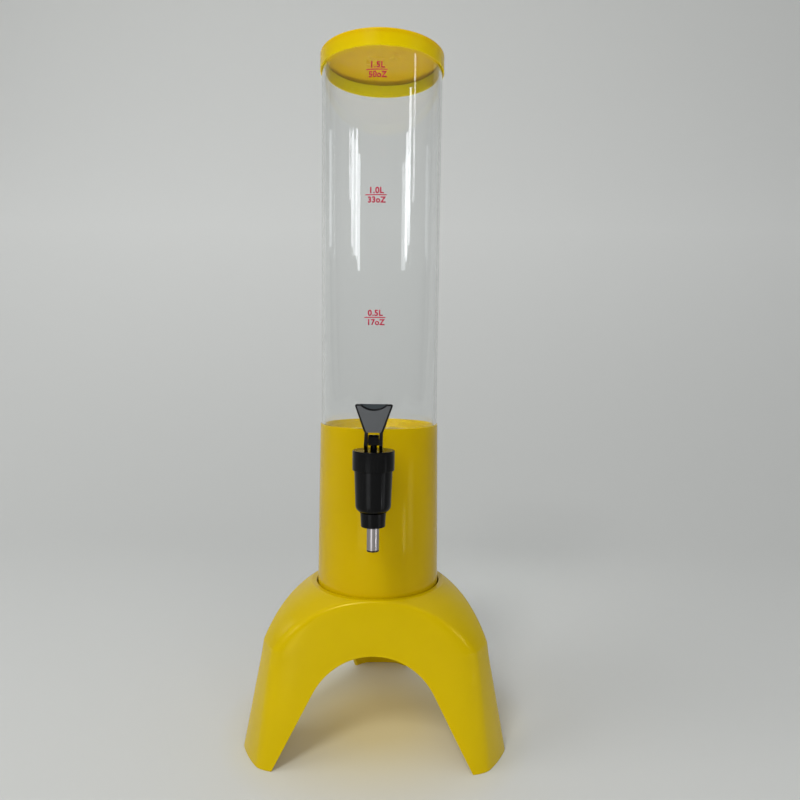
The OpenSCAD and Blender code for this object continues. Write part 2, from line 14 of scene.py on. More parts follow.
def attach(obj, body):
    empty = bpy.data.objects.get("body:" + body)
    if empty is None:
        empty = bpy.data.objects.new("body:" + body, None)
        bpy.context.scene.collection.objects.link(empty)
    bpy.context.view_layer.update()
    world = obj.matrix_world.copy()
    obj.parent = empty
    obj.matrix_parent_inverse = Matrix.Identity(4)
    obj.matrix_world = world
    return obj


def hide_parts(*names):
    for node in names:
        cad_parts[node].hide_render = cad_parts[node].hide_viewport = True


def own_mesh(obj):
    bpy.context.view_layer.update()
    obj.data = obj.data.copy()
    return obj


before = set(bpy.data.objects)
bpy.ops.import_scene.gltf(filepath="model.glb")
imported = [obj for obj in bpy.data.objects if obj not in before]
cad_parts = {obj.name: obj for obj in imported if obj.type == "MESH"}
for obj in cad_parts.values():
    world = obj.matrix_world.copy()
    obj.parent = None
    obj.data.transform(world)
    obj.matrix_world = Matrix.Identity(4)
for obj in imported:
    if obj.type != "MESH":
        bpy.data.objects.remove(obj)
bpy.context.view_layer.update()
MM = 0.001
CRISP = 32     # degrees: sharper edges stay crisp

# ---- Sizes, as in the CAD source ----
STAND_H, FOOT_R, SHOULDER_R, SHOULDER_Z = 117.4, 105.7, 91.4, 81.0
DOME_R, NECK_R, SIDE_FLOOR, SIDE_LEAN = 84.0, 52.4, 71.7, math.radians(9.1)
LEG_BLEND, CREST_BLEND, NARROW_LOW, STAND_WALL = 13.0, 3.2, 10.0, 3.0
ARCH_H, ARCH_R, ARCH_FOOT = 79.0, 49.0, 71.2
SOCKET_R, SOCKET_Z, SOCKET_FLOOR, SOCKET_OUT, HOLE_R = 48.3, 102.0, 3.0, 50.5, 33.0
SCREW_CIRCLE, SCREW_R, SCREW_LEN = 40.6, 1.6, 14.0
SIDE_ANGLES, LEG_ANGLES = (30, 150, 270), (90, 210, 330)

BARREL_Z0, BARREL_Z1, BARREL_FOOT_R, BARREL_TOP_R = 102.0, 241.3, 47.6, 45.95
SKIRT_WALL, REBATE_R, LEDGE_Z, BORE_R = 2.6, 44.97, 232.3, 42.72
TANK_FLOOR, SKIRT_TOP, TANK_CORNER = 190.1, 187.1, 4.0
BOSS_R, BOSS_Z0, BOSS_Z1 = 5.2, 102.4, 122.0
TUBE_Z0, TUBE_Z1, TUBE_FOOT_R, TUBE_TOP_R, TUBE_WALL = 233.8, 519.0, 44.92, 46.0, 2.2
LID_Z0, LID_Z1, LID_R, LID_IN_R, LID_ROUND = 509.5, 522.0, 47.3, 46.3, 1.2

TAP_Y, TAP_Z = -86.476, 205.3
PAD_R, PAD_Y, INNER_PAD_Y = 12.0, 47.777, 40.4
FLANGE_Y, FLANGE_R, FLANGE_T, WASHER_T = 49.777, 10.8, 3.0, 2.0
SHANK_R, INLET_R, NUT_T, NUT_FLATS, THREAD_END = 7.9, 5.0, 7.0, 22.0, 3.0
SHANK_PITCH, SCREW_PITCH = 1.25, 0.9
BODY_TOP_R, BODY_LOW_R, BODY_ROUND, BODY_Z1 = 12.7, 11.7, 4.6, 218.3
NOZZLE_TOP_R, NOZZLE_END_R, NOZZLE_Z0, NOZZLE_Z1 = 8.6, 8.1, 180.6, 190.1
CHAMBER_R, CHAMBER_Z0, SEAT_CONE, OUTLET_R = 9.6, 193.5, 1.6, 3.6
BONNET_R, BONNET_Z1, BONNET_TOP_T, THREAD_R, BODY_RIM = 14.0, 231.5, 3.0, 11.8, 226.5
SPOUT_R, SPOUT_STEP, SPOUT_WALL, SPOUT_Z0, SPOUT_Z1 = 4.1, 0.4, 0.5, 163.9, 186.6
# the height up to which the spout's end is painted dark, a painted shade
SPOUT_PAINTED_SHADE_Z = SPOUT_Z0 + 1.1
STEM_R, STEM_BORE, BUTTON_Z, BUTTON_R, BUTTON_T = 2.2, 2.28, 196.5, 3.2, 1.6
PIN_Z, PIN_R, HEAD_R, HEAD_W, HEAD_D, HEAD_Z0 = 237.4, 1.25, 4.2, 7.0, 6.0, 234.8
FORK_W, ARM_IN, CROTCH_Z = 12.0, 3.85, 243.3
PADDLE_H, PADDLE_FOOT_W, PADDLE_TOP_W, PADDLE_CORNER = 18.6, 13.4, 24.8, 1.2
PADDLE_FOOT_T, PADDLE_TOP_T, SCOOP_W, SCOOP_DROP, SCOOP_IN = 6.0, 4.4, 20.0, 4.4, 2.6
BEVEL_W, BEVEL_T = 1.3, 0.9
CAM_LOW, CAM_SLOPE, HANDLE_TURN, TOE_UP = 5.75, 3.8197, 60.0, 2.5


# ---- Mesh helpers ----
def added(name, data):
    """A new object in the scene."""
    ob = bpy.data.objects.new(name, data)
    bpy.context.scene.collection.objects.link(ob)
    return ob


def new_piece(name, points, faces, body=None, slot=None, *nodes):
    """A mesh from points in millimetres. It is finished if it names a body, or else still raw."""
    mesh = bpy.data.meshes.new(name)
    mesh.from_pydata([tuple(c * MM for c in p) for p in points], [], faces)
    mesh.validate()
    bm = bmesh.new()
    bm.from_mesh(mesh)
    bmesh.ops.remove_doubles(bm, verts=bm.verts, dist=1e-3 * MM)
    bmesh.ops.recalc_face_normals(bm, faces=bm.faces)
    bm.to_mesh(mesh)
    bm.free()
    piece = added(name, mesh)
    return finished(piece, body, slot, *nodes) if body else piece


def smooth(mesh):
    mesh.polygons.foreach_set("use_smooth", [True] * len(mesh.polygons))


def finished(piece, body, slot, *nodes):
    """Smooth faces with crisp edges and normals led by the large faces, and its body; the slot is
    not used.
    """
    smooth(piece.data)
    piece.data.set_sharp_from_angle(angle=math.radians(CRISP))
    weighted = piece.modifiers.new("normals", "WEIGHTED_NORMAL")
    weighted.keep_sharp = True
    weighted.weight = 80
    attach(piece, body)
    if nodes:
        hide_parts(*nodes)
    return piece


def applied(piece):
    """Turns the piece's modifiers into its mesh."""
    graph = bpy.context.evaluated_depsgraph_get()
    mesh = bpy.data.meshes.new_from_object(piece.evaluated_get(graph))
    piece.modifiers.clear()
    piece.data = mesh
    return piece


def combine(piece, operation, *others):
    """Unites the piece with others, or cuts them from it, and removes them."""
    for other in others:
        modifier = piece.modifiers.new("cut", "BOOLEAN")
        modifier.operation = operation
        modifier.solver = "EXACT"
        modifier.object = other
        applied(piece)
        bpy.data.objects.remove(other)
    return piece


def bevelled(piece, width, steps=3, angle=30):
    """Rounds the edges that turn by more than an angle, to a width in millimetres."""
    modifier = piece.modifiers.new("edges", "BEVEL")
    modifier.width = width * MM
    modifier.segments = steps
    modifier.limit_method = "ANGLE"
    modifier.angle_limit = math.radians(angle)
    return applied(piece)


def rounded(corners, steps=5):
    """A closed outline of (x, y) or (x, y, radius) corners, with arcs of that radius at them."""
    out = []
    n = len(corners)
    for i, corner in enumerate(corners):
        p = Vector(corner[:2])
        radius = corner[2] if len(corner) > 2 else 0
        if not radius:
            out.append(tuple(p))
            continue
        before = (Vector(corners[i - 1][:2]) - p).normalized()
        after = (Vector(corners[(i + 1) % n][:2]) - p).normalized()
        half = before.angle(after) / 2
        reach = radius / math.tan(half)
        centre = p + (before + after).normalized() * (radius / math.sin(half))
        a, b = p + before * reach - centre, p + after * reach - centre
        turn = math.atan2(a.x * b.y - a.y * b.x, a.dot(b))
        for k in range(steps + 1):
            c, s = math.cos(turn * k / steps), math.sin(turn * k / steps)
            out.append((centre.x + a.x * c - a.y * s, centre.y + a.x * s + a.y * c))
    return out


def turned(outline, segments):
    """Points and faces of a closed (radius, height) outline turned about the Z axis."""
    points, rows, faces = [], [], []
    for radius, height in outline:
        if radius < 1e-6:
            rows.append([len(points)] * segments)
            points.append((0, 0, height))
            continue
        rows.append(range(len(points), len(points) + segments))
        points += [(radius * math.cos(2 * math.pi * k / segments),
                    radius * math.sin(2 * math.pi * k / segments), height)
                   for k in range(segments)]
    for i, row in enumerate(rows):
        ahead = rows[(i + 1) % len(rows)]
        for k in range(segments):
            m = (k + 1) % segments
            ring = [row[k], row[m], ahead[m], ahead[k]]
            ring = [v for j, v in enumerate(ring) if v not in ring[:j]]
            if len(ring) > 2:
                faces.append(ring)
    return points, faces


def at_tap(p):
    """From a shape turned about Z to one turned about the tap's axis."""
    return p[0], p[1] + TAP_Y, p[2]


def along_shank(p):
    """From a shape turned about Z to one turned about the shank, whose length runs along -Y."""
    return p[0], -p[2], TAP_Z + p[1]


def at_screw(angle):
    """From a shape at the origin to one at the fixing screw at that angle, in degrees."""
    x = SCREW_CIRCLE * math.cos(math.radians(angle))
    y = SCREW_CIRCLE * math.sin(math.radians(angle))
    return lambda p: (p[0] + x, p[1] + y, p[2])


def sideways(p):
    """From an outline drawn in (depth, height above the pin), along x, to its place on the tap."""
    return p[2], p[0] + TAP_Y, p[1] + PIN_Z


def lathe(name, corners, body=None, slot=None, *nodes, place=None, segments=192, steps=5):
    """A solid of (radius, height, rounding) corners turned about Z and then moved by place."""
    points, faces = turned(rounded(corners, steps), segments)
    if place:
        points = [place(p) for p in points]
    return new_piece(name, points, faces, body, slot, *nodes)


def prism(name, outline, length, place, taper=1.0):
    """A straight solid of an outline in its own (x, y), centred on z, moved by place."""
    n = len(outline)
    points = [place((x * k, y * k, z)) for z, k in ((-length / 2, 1.0), (length / 2, taper))
              for x, y in outline]
    faces = [list(range(n))[::-1], list(range(n, 2 * n))]
    faces += [[i, (i + 1) % n, n + (i + 1) % n, n + i] for i in range(n)]
    return new_piece(name, points, faces)


# ---- The stand's skin, by the same formula as the solid ----
CONE_LEAN = math.atan((FOOT_R - SHOULDER_R) / SHOULDER_Z)
CHORD = (NECK_R - SHOULDER_R, STAND_H - SHOULDER_Z)
CHORD_LEN = math.hypot(*CHORD)
DROP = math.sqrt(DOME_R ** 2 - CHORD_LEN ** 2 / 4) / CHORD_LEN
DOME_C = ((NECK_R + SHOULDER_R) / 2 - DROP * CHORD[1], (STAND_H + SHOULDER_Z) / 2 + DROP * CHORD[0])


def round_r(z, inset):
    """The radius of the legs' cone and the dome over it, inset millimetres inside the skin."""
    cone = FOOT_R - z * math.tan(CONE_LEAN) - inset / math.cos(CONE_LEAN)
    high = np.maximum(z - DOME_C[1], 0)
    dome = DOME_C[0] + np.sqrt(np.maximum((DOME_R - inset) ** 2 - high ** 2, 0))
    return np.where(z < DOME_C[1], cone, np.minimum(cone, dome))


def side_distance(z, inset):
    """The distance of a flat side from the axis."""
    return SIDE_FLOOR - z * math.tan(SIDE_LEAN) - inset / math.cos(SIDE_LEAN)


def skin_r(turn, z, inset):
    """The skin's radius at a turn from the middle of a flat side, in radians, and a height."""
    share = np.clip((z - SHOULDER_Z + NARROW_LOW) / (STAND_H - SHOULDER_Z), 0, 1)
    k = LEG_BLEND + (CREST_BLEND - LEG_BLEND) * share
    a, b = round_r(z, inset), side_distance(z, inset) / np.cos(turn)
    return np.minimum(a, b) - np.maximum(k - np.abs(a - b), 0) ** 2 / (4 * k)


def solve(low, high, above):
    """The value between low and high, element by element, where above() turns false."""
    for _ in range(40):
        mid = (low + high) / 2
        up = above(mid)
        low, high = np.where(up, mid, low), np.where(up, high, mid)
    return (low + high) / 2


FOOT_ROUND, EDGE_ROUND, TOP_ROUND = 0.4, 0.5, 0.25
FOOT_ROW = 0.48      # length along the arch's edge up to which the rows run level
ARCH_Z = ARCH_H - ARCH_R
ARCH_TANGENT = math.acos(ARCH_R / math.hypot(ARCH_FOOT, ARCH_Z)) - math.atan2(ARCH_Z, ARCH_FOOT)
STRAIGHT = math.sqrt(ARCH_FOOT ** 2 + ARCH_Z ** 2 - ARCH_R ** 2)
CURVE = (math.pi / 2 - ARCH_TANGENT) * ARCH_R
CORNER_AT = 66.0     # length along the arch's edge that faces the collar's corner on a leg


def foot_inset(z, inset, sign):
    """The inset near the floor, where the foot's edge is rounded."""
    low = np.clip(FOOT_ROUND - z, 0, FOOT_ROUND)
    return inset + sign * (FOOT_ROUND - np.sqrt(FOOT_ROUND ** 2 - low ** 2))


def arch_edge(s, off):
    """The point (across, up) at a length along the arch's edge from the floor, off outwards."""
    c, n = math.cos(ARCH_TANGENT), math.sin(ARCH_TANGENT)
    if s <= STRAIGHT:
        across, up = ARCH_FOOT - s * n, s * c
        level = max(0.0, 1 - up / 6)      # at the floor the offset runs level
        dx, dz = c + (1 / c - c) * level, n * (1 - level)
        return across + off * dx, up + off * dz
    turn = ARCH_TANGENT + (s - STRAIGHT) / ARCH_R
    return (ARCH_R + off) * math.cos(turn), ARCH_Z + (ARCH_R + off) * math.sin(turn)


def turn_at(across, up, inset):
    """The turn at which the skin lies that far across the flat side."""
    across, up = np.asarray(across, float), np.asarray(up, float)
    return solve(np.zeros_like(across), np.full_like(across, math.pi / 2.2),
                 lambda t: skin_r(t, up, inset) * np.sin(t) < across)


def skin_points(turn, z, inset):
    """Points of the skin in a sector's own axes: across the flat side, away from it, and up."""
    r = skin_r(turn, z, inset)
    return np.stack([r * np.sin(turn), r * np.cos(turn), z], -1)


def skin_line(start, end, inset, sign, count):
    """Points from start to end, both (turn, height), closer together where the skin turns."""
    s = np.linspace(0, 1, 500)
    turn = start[0] + (end[0] - start[0]) * s
    z = start[1] + (end[1] - start[1]) * s
    p = skin_points(turn, z, foot_inset(z, inset, sign))
    eps = 1e-4
    du = skin_points(turn + eps, z, inset) - skin_points(turn - eps, z, inset)
    dv = skin_points(turn, z + eps * 60, inset) - skin_points(turn, z - eps * 60, inset)
    normal = np.cross(du, dv)
    normal /= np.linalg.norm(normal, axis=1)[:, None]
    bend = np.arccos(np.clip((normal[1:] * normal[:-1]).sum(1), -1, 1))
    step = np.linalg.norm(np.diff(p, axis=0), axis=1)
    weight = np.concatenate([[0], np.cumsum(step + 26 * bend)])
    at = np.interp(np.linspace(0, weight[-1], count), weight, s)
    turn = start[0] + (end[0] - start[0]) * at
    z = start[1] + (end[1] - start[1]) * at
    return skin_points(turn, z, foot_inset(z, inset, sign))


def stand_sector():
    """Rows of points round the stand's section for one sixth of it, from the foot to the crest.

    Returns the rows, the number of the first row that reaches the collar, the count of points
    that every row has, and the count of those on the outer skin.
    """
    n_skin, n_fillet, n_band = 46, 4, 3
    lengths = [0, 0.05, 0.15, 0.3, FOOT_ROW] + list(np.linspace(1.6, CORNER_AT, 44))
    lengths += list(np.linspace(CORNER_AT, STRAIGHT + CURVE, 38)[1:])
    top, full = math.radians(60), STRAIGHT + CURVE
    skin_top = STAND_H - TOP_ROUND
    rows, corner = [], None
    for s in lengths:
        row = []
        on_leg = s <= CORNER_AT
        level = min(s, FOOT_ROW)
        if on_leg:
            share = (s - level) / (CORNER_AT - FOOT_ROW)
        else:
            share = (s - CORNER_AT) / (full - CORNER_AT)
        end_turn = top if on_leg else top * (1 - share)
        # outer skin, from the leg's middle or the collar to the arch's edge
        a = arch_edge(s, EDGE_ROUND)
        foot = foot_inset(np.array(a[1]), 0, 1)
        start = (float(turn_at(a[0], a[1], foot)), a[1])
        end_z = level * math.cos(ARCH_TANGENT) + (skin_top - level) * share if on_leg else skin_top
        row += list(skin_line(start, (end_turn, end_z), 0, 1, n_skin)[::-1])
        # the arch's edge and its wall
        for wall, sign in ((0.0, 1), (STAND_WALL, -1)):
            arc = [math.radians(90 * k / n_fillet) for k in range(n_fillet + 1)]
            part = []
            for phi in arc[1:]:
                off, drop = EDGE_ROUND * (1 - math.sin(phi)), EDGE_ROUND * (1 - math.cos(phi))
                x, z = arch_edge(s, off)
                inset = foot_inset(np.array(z), wall, sign)
                t = float(turn_at(x, z, inset))
                y = float(skin_r(t, np.array(z), inset)) * math.cos(t)
                part.append(np.array([x, y - sign * drop, z]))
            row += part if sign > 0 else part[::-1]
            if sign > 0:
                edge_at = len(row) - 1
        outer_edge, inner_edge = row[edge_at], row[edge_at + 1]
        row[edge_at + 1:edge_at + 1] = [outer_edge + (inner_edge - outer_edge) * k / (n_band + 1)
                                        for k in range(1, n_band + 1)]
        # inner skin, out to the leg's middle or the socket's outer wall
        inset = foot_inset(np.array(a[1]), STAND_WALL, -1)
        start = (float(turn_at(a[0], a[1], inset)), a[1])
        meet = float(solve(np.array(60.0), np.array(116.0),
                           lambda z: skin_r(end_turn, z, STAND_WALL) > SOCKET_OUT))
        end_z = level * math.cos(ARCH_TANGENT) + (meet - level) * share if on_leg else meet
        row += list(skin_line(start, (end_turn, end_z), STAND_WALL, -1, n_skin))
        if s >= CORNER_AT:
            if corner is None:
                corner = len(rows)
            row += socket_rows(end_turn, meet, skin_top)
        rows.append(row)
    return rows, corner, 2 * n_skin + 2 * n_fillet + n_band, n_skin


def socket_rows(turn, meet, skin_top):
    """Points of the socket's section at one turn, from the inner skin round to the outer skin."""
    low = SOCKET_Z - SOCKET_FLOOR
    section = rounded([
        (SOCKET_OUT, meet - 1), (SOCKET_OUT, low, 0.4), (HOLE_R, low, 0.4), (HOLE_R, SOCKET_Z, 0.4),
        (SOCKET_R, SOCKET_Z, 0.5), (SOCKET_R, STAND_H, 0.3), (NECK_R - 1.5, STAND_H)], steps=3)
    r0 = float(skin_r(turn, np.array(skin_top), 0))
    r1 = float(skin_r(turn, np.array(STAND_H), 0))
    reach = math.hypot(r0 - r1, STAND_H - skin_top)
    for k in range(4, 0, -1):      # a small curve from the collar's flat rim into the skin
        b = k / 4
        # weights of the flat, the corner and the skin
        p, q, w = b * b, 2 * b * (1 - b), (1 - b) ** 2
        section.append(((r1 - reach) * p + r1 * q + r0 * w, STAND_H * (p + q) + skin_top * w))
    return [np.array([r * math.sin(turn), r * math.cos(turn), z]) for r, z in section]


def make_stand():
    """The stand, from six sectors that mirror each other."""
    rows, corner, common, n_skin = stand_sector()
    points, faces = [], []
    for side in SIDE_ANGLES:
        for mirror in (1, -1):
            index = []
            a = math.radians(side)
            for row in rows:
                index.append(range(len(points), len(points) + len(row)))
                points += [(math.cos(a) * y - math.sin(a) * x * mirror,
                            math.sin(a) * y + math.cos(a) * x * mirror, z) for x, y, z in row]
            made = []
            for j in range(len(rows) - 1):
                low, high = index[j], index[j + 1]
                n = len(rows[j]) if j >= corner else common
                for i in range(n - 1 if j < corner else n):
                    m = (i + 1) % n
                    made.append([low[i], low[m], high[m], high[i]])
            # the foot's flat underside
            first = index[0]
            for i in range(n_skin - 1):
                made.append([first[i], first[i + 1], first[common - 2 - i], first[common - 1 - i]])
            made.append([first[i] for i in range(n_skin - 1, common - n_skin + 1)])
            faces += made if mirror > 0 else [f[::-1] for f in made]
    return new_piece("stand_shell", points, faces, "dispenser", "stand_plastic", "base_stand")


def make_ribs():
    """The stiffening rib down the inside of each leg, as one piece of (radius, height) outlines."""
    points, faces, half = [], [], 1.0
    outline = rounded([(HOLE_R + 6, 99.2), (SHOULDER_R - 24, SHOULDER_Z - 18, 2.0), (93.5, 63),
                       (91.6, 72), (89.0, 81), (82.8, 92), (74.0, 102), (62.5, 110), (53.0, 113.8),
                       (50.2, 114.2), (HOLE_R + 6, 101.5)], 6)
    n = len(outline)
    for leg in LEG_ANGLES:
        a, base = math.radians(leg), len(points)
        for w in (-half, half):
            points += [(math.cos(a) * r - math.sin(a) * w, math.sin(a) * r + math.cos(a) * w, z)
                       for r, z in outline]
        faces += [[base + i for i in range(n)], [base + n + i for i in range(n)][::-1]]
        faces += [[base + i, base + n + i, base + n + (i + 1) % n, base + (i + 1) % n]
                  for i in range(n)]
    return new_piece("stand_ribs", points, faces, "dispenser", "stand_plastic")


# ---- Barrel, tube and lid ----
def barrel_r(z):
    share = (z - BARREL_Z0) / (BARREL_Z1 - BARREL_Z0)
    return BARREL_FOOT_R + (BARREL_TOP_R - BARREL_FOOT_R) * share


def make_barrel():
    barrel = lathe("barrel", [
        (BARREL_FOOT_R - SKIRT_WALL, BARREL_Z0, 0.3), (BARREL_FOOT_R, BARREL_Z0, 0.4),
        (BARREL_TOP_R, BARREL_Z1, 0.35), (REBATE_R, BARREL_Z1, 0.2), (REBATE_R, LEDGE_Z),
        (BORE_R, LEDGE_Z, 0.3), (BORE_R, TANK_FLOOR, TANK_CORNER), (0, TANK_FLOOR), (0, SKIRT_TOP),
        (barrel_r(SKIRT_TOP) - SKIRT_WALL, SKIRT_TOP, 1.0)], segments=256)
    pad = lathe("pad", [(0, INNER_PAD_Y), (PAD_R, INNER_PAD_Y, 0.3), (PAD_R, PAD_Y, 0.4),
                        (0, PAD_Y)], place=along_shank, segments=96)
    combine(barrel, "UNION", pad)
    for angle in SIDE_ANGLES:
        boss = lathe("boss", [(0, BOSS_Z0), (BOSS_R, BOSS_Z0, 0.3), (BOSS_R, BOSS_Z1, 0.6),
                              (0, BOSS_Z1)], place=at_screw(angle), segments=48)
        combine(barrel, "UNION", boss)
    hole = lathe("hole", [(0, 20), (SHANK_R + 0.2, 20), (SHANK_R + 0.2, 60), (0, 60)],
                 place=along_shank, segments=64)
    combine(barrel, "DIFFERENCE", hole)
    return finished(barrel, "dispenser", "barrel_plastic", "tank_barrel")


def make_tube():
    return lathe("clear_tube", [
        (TUBE_FOOT_R - TUBE_WALL, TUBE_Z0, 0.25), (TUBE_FOOT_R, TUBE_Z0, 0.25),
        (TUBE_TOP_R, TUBE_Z1, 0.3), (TUBE_TOP_R - TUBE_WALL, TUBE_Z1, 0.3)],
        "dispenser", "clear_acrylic", "measuring_tube", segments=256)


def make_lid():
    return lathe("cap_lid", [
        (0, TUBE_Z1), (LID_IN_R, TUBE_Z1, 0.5), (LID_IN_R, LID_Z0, 0.2), (LID_R, LID_Z0, 0.3),
        (LID_R, LID_Z1, LID_ROUND), (0, LID_Z1)],
        "lid", "lid_plastic", "lid", segments=256, steps=8)


# ---- Tap ----
def make_tap_body():
    body = lathe("tap_casting", [
        (0, NOZZLE_Z0), (NOZZLE_END_R, NOZZLE_Z0, 0.5), (NOZZLE_TOP_R, NOZZLE_Z1 + 0.15, 0.3),
        (BODY_LOW_R, NOZZLE_Z1, BODY_ROUND), (BODY_TOP_R, BODY_Z1, 0.25), (THREAD_R, BODY_Z1),
        (THREAD_R, BODY_RIM), (0, BODY_RIM)], place=at_tap, segments=160, steps=10)
    end = INNER_PAD_Y - WASHER_T - NUT_T - THREAD_END
    thread = []
    z = end
    while z < INNER_PAD_Y - WASHER_T:       # the thread's ridges, up to the inner washer
        thread += [(SHANK_R - 0.5, z + 0.15), (SHANK_R, z + 0.55), (SHANK_R, z + 0.75),
                   (SHANK_R - 0.5, z + 1.15)]
        z += SHANK_PITCH
    shank = lathe("shank", [(0, end)] + thread + [
        (SHANK_R, INNER_PAD_Y), (SHANK_R, FLANGE_Y), (FLANGE_R, FLANGE_Y, 0.3),
        (FLANGE_R, FLANGE_Y + FLANGE_T, 0.5), (SHANK_R, FLANGE_Y + FLANGE_T, 0.8),
        (SHANK_R, -TAP_Y), (0, -TAP_Y)], place=along_shank, segments=96)
    combine(body, "UNION", shank)
    inside = lathe("inside", [
        (0, NOZZLE_Z0 - 1), (SPOUT_R + SPOUT_STEP, NOZZLE_Z0 - 1),
        (SPOUT_R + SPOUT_STEP, SPOUT_Z1), (OUTLET_R, SPOUT_Z1),
        (OUTLET_R, CHAMBER_Z0 - SEAT_CONE), (OUTLET_R + SEAT_CONE, CHAMBER_Z0),
        (CHAMBER_R, CHAMBER_Z0), (CHAMBER_R, BODY_RIM + 1), (0, BODY_RIM + 1)],
        place=at_tap, segments=96)
    inlet = lathe("inlet", [(0, end - 1), (INLET_R, end - 1), (INLET_R, -TAP_Y), (0, -TAP_Y)],
                  place=along_shank, segments=64)
    combine(body, "DIFFERENCE", inside, inlet)
    return finished(body, "dispenser", "tap_plastic", "tap_body")


def make_bonnet():
    top = BONNET_Z1 - BONNET_TOP_T
    return lathe("bonnet", [
        (THREAD_R, BODY_Z1), (BONNET_R, BODY_Z1, 0.5), (BONNET_R, BONNET_Z1, 0.5),
        (STEM_BORE, BONNET_Z1, 0.2), (STEM_BORE, top), (THREAD_R, top)],
        "dispenser", "tap_plastic", "tap_bonnet", place=at_tap, segments=160)


def make_spout():
    return lathe("steel_spout", [
        (SPOUT_R - SPOUT_WALL, SPOUT_Z0, 0.2), (SPOUT_R, SPOUT_Z0, 0.2), (SPOUT_R, SPOUT_PAINTED_SHADE_Z),
        (SPOUT_R, NOZZLE_Z0),
        (SPOUT_R + SPOUT_STEP, NOZZLE_Z0), (SPOUT_R + SPOUT_STEP, SPOUT_Z1, 0.1),
        (SPOUT_R - SPOUT_WALL, SPOUT_Z1, 0.1)],
        "dispenser", "spout_steel", "spout_tube", place=at_tap, segments=96, steps=4)


def make_rings():
    """The seal under the tube and the two washers at the tap's flange."""
    inside, outside = BORE_R + 0.1, REBATE_R - 0.1
    rings = [lathe("seal_ring", [(inside, LEDGE_Z, 0.3), (outside, LEDGE_Z, 0.3),
                                 (outside, TUBE_Z0, 0.3), (inside, TUBE_Z0, 0.3)],
                   "dispenser", "clear_silicone", "tube_seal", segments=256)]
    for name, node, a, b in (("washer_out", "outer_washer", PAD_Y, FLANGE_Y),
                             ("washer_in", "inner_washer", INNER_PAD_Y - WASHER_T, INNER_PAD_Y)):
        rings.append(lathe(name, [(SHANK_R + 0.1, a, 0.2), (FLANGE_R, a, 0.4), (FLANGE_R, b, 0.4),
                                  (SHANK_R + 0.1, b, 0.2)], "dispenser", "black_rubber", node,
                           place=along_shank, segments=96))
    return rings


def make_nut():
    """The hexagonal nut, with its corners turned down at both ends and a chamfered bore."""
    y1 = INNER_PAD_Y - WASHER_T
    y0 = y1 - NUT_T
    corner = NUT_FLATS / math.sqrt(3)
    turns = [math.radians(60 * k) for k in range(6)]
    nut = prism("nut", [(corner * math.cos(a), corner * math.sin(a)) for a in turns], NUT_T,
                lambda p: along_shank((p[0], p[1], p[2] + (y0 + y1) / 2)))
    shape = lathe("nut_round", [(0, y0), (NUT_FLATS / 2 - 0.3, y0), (corner + 0.2, y0 + 1.0),
                                (corner + 0.2, y1 - 1.0), (NUT_FLATS / 2 - 0.3, y1), (0, y1)],
                  place=along_shank, segments=96)
    combine(nut, "INTERSECT", shape)
    bore = lathe("nut_bore", [(0, y0 - 1), (SHANK_R + 0.9, y0 - 1), (SHANK_R + 0.02, y0 + 0.8),
                              (SHANK_R + 0.02, y1 + 1), (0, y1 + 1)],
                 place=along_shank, segments=64)
    combine(nut, "DIFFERENCE", bore)
    return finished(bevelled(nut, 0.2, 2), "dispenser", "tap_plastic", "shank_nut")


def make_screws():
    """Three pan heads with a cross recess, and their threaded shanks, as one piece."""
    z = SOCKET_Z - SOCKET_FLOOR
    mesh = bmesh.new()
    for i, angle in enumerate(SIDE_ANGLES):
        place = at_screw(angle)
        thread = []
        for k in range(11):
            up = z + 3.2 + k * SCREW_PITCH
            thread += [(SCREW_R, up), (SCREW_R, up + 0.15), (SCREW_R - 0.35, up + 0.45),
                       (SCREW_R - 0.35, up + 0.6)]
        screw = lathe("screw", [(0, z + SCREW_LEN), (0.5, z + SCREW_LEN)] + thread[::-1] + [
            (SCREW_R, z), (2 * SCREW_R, z, 0.2), (2 * SCREW_R - 0.1, z - 1.2, 0.9),
            (SCREW_R, z - 2.08, 1.2), (0, z - 2.08)], place=place, segments=48)
        for turn in (0, 90):
            t = math.radians(turn + 20 + 37 * i)     # each screw stopped at another angle
            slot = prism("slot", [(-1.7, -0.36), (1.7, -0.36), (1.7, 0.36), (-1.7, 0.36)], 2.4,
                         lambda p: place((p[0] * math.cos(t) - p[1] * math.sin(t),
                                          p[0] * math.sin(t) + p[1] * math.cos(t), p[2] + z - 2.3)),
                         taper=0.55)
            combine(screw, "DIFFERENCE", slot)
        mesh.from_mesh(screw.data)
        bpy.data.objects.remove(screw)
    data = bpy.data.meshes.new("fixing_screws")
    mesh.to_mesh(data)
    mesh.free()
    return finished(added("fixing_screws", data), "dispenser", "screw_steel", "base_screws")


def make_cup():
    """The silicone seat cup inside the tap, on a mesh of its own, which the stem shortens in use;
    here it keeps its shape.
    """
    foot, top = CHAMBER_Z0 - 0.8, BONNET_Z1 - BONNET_TOP_T
    plug_r, bell_r, flange = 5.6, CHAMBER_R - 0.3, THREAD_R - 0.3
    bell_z, plug_z1 = 213.1, 205.9
    cup = lathe("silicone_cup", [
        (0, foot), (4.4, CHAMBER_Z0, 0.8), (plug_r, CHAMBER_Z0 + 3, 1.5),
        (plug_r, plug_z1, 1.5), (bell_r, bell_z, 2), (bell_r, BODY_RIM), (flange, BODY_RIM, 0.3),
        (flange, top, 0.3), (bell_r - 1.2, top, 0.3), (bell_r - 1.2, bell_z + 0.6, 1.5),
        (STEM_R + 0.3, plug_z1 + 1.2), (STEM_R, BUTTON_Z + BUTTON_T),
        (BUTTON_R, BUTTON_Z + BUTTON_T), (BUTTON_R, BUTTON_Z), (0, BUTTON_Z)],
        "dispenser", "white_silicone", "seat_cup", place=at_tap, segments=96)
    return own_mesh(cup)


# ---- Stem and handle ----
def pin_hole(radius):
    return lathe("hole", [(0, -9), (radius, -9), (radius, 9), (0, 9)], place=sideways, segments=48)


